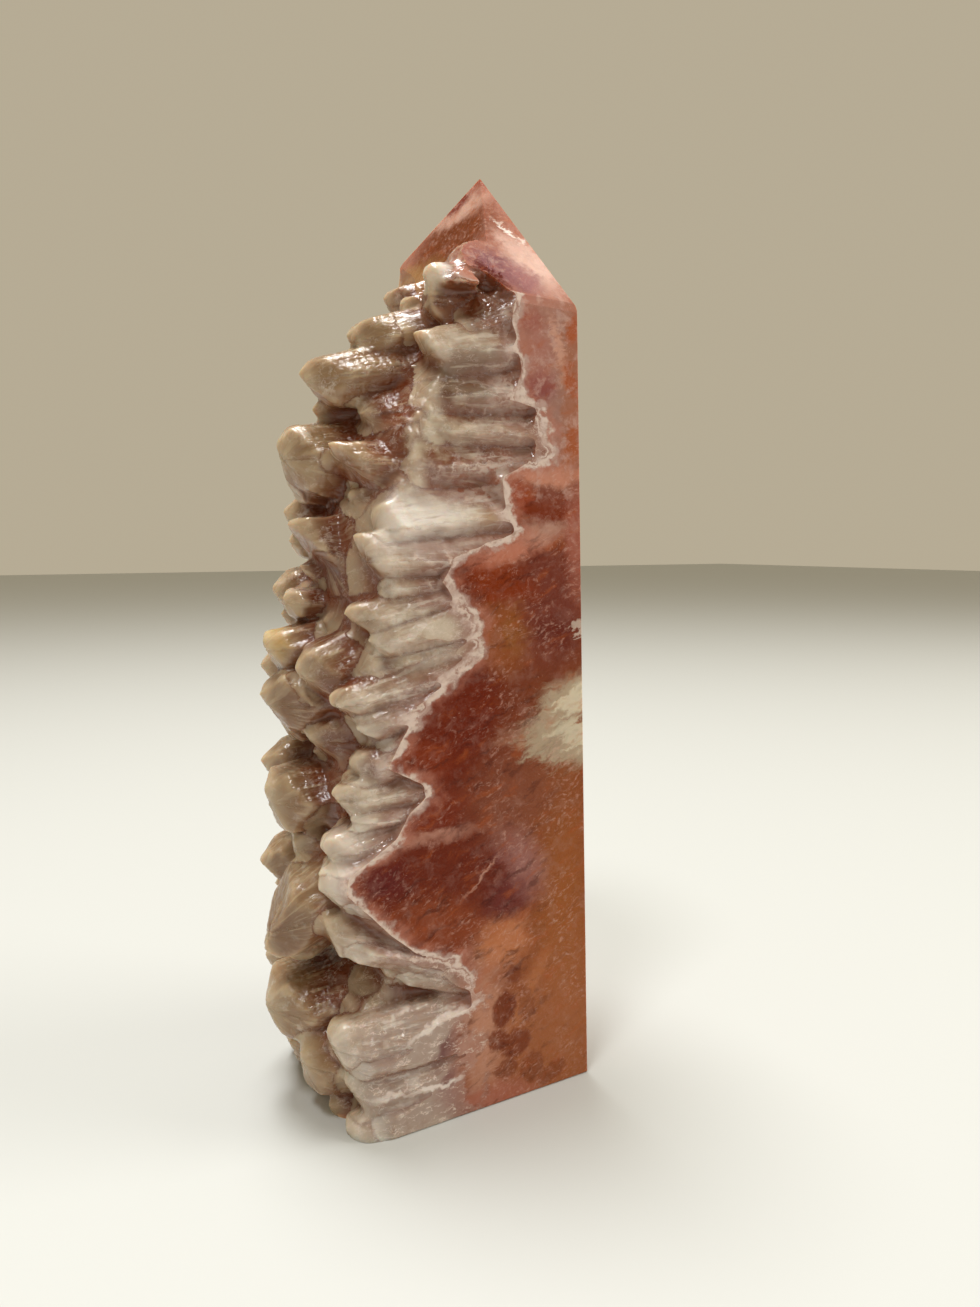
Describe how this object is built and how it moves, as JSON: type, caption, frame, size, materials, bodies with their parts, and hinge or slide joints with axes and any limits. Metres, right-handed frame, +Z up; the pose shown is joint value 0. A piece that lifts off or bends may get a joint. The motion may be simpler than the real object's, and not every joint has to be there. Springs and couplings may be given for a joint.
{
  "type": "calcite tower",
  "caption": "Standing polished calcite tower with a faceted point, one side left as a natural druse of blunt overlapping crystals, on a flat sawn base.",
  "frame": {"origin": "middle of the bounding box, crystals included, at the flat base", "axes": "+Z up along the tower to its point, -Y out of the polished front face, -X out of the crystal side"},
  "size_m": [0.0558, 0.04, 0.1662],
  "materials": {
    "calcite": "polished red, orange and white banded calcite on the sawn faces, glossy natural cream crystals on the left"
  },
  "bodies": {
    "root": {"calcite_tower": "calcite"}
  },
  "joints": []
}
